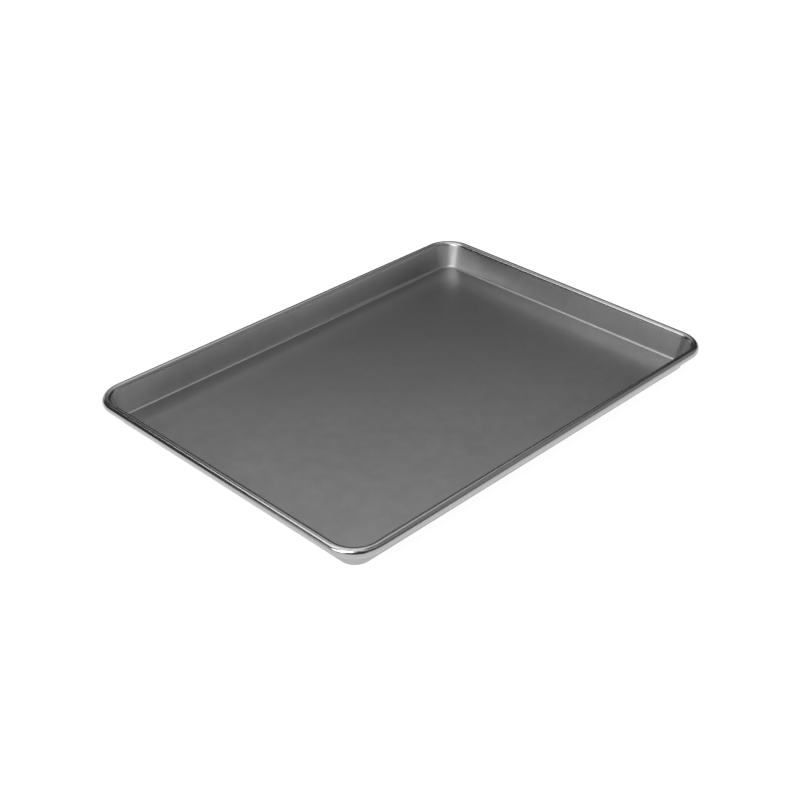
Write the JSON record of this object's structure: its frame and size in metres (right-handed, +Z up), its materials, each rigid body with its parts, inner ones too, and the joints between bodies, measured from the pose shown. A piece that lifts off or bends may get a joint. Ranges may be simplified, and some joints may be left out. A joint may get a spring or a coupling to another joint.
{
  "type": "jelly roll pan",
  "caption": "Shallow rectangular baking pan in satin grey sheet steel, with sloped sides, rounded corners and a rim curled over a wire hoop, for sponge sheets and rolls.",
  "frame": {"origin": "on the table, under the middle of the pan", "axes": "+X along the pan's length, +Y across it, +Z up out of the open top"},
  "size_m": [0.457, 0.333, 0.0254],
  "materials": {
    "pan_steel": "satin, uncoated, with a brighter rim",
    "wire_steel": "drawn wire, dull"
  },
  "bodies": {
    "root": {"pan_shell": "pan_steel", "rim_wire": "wire_steel"}
  },
  "joints": []
}
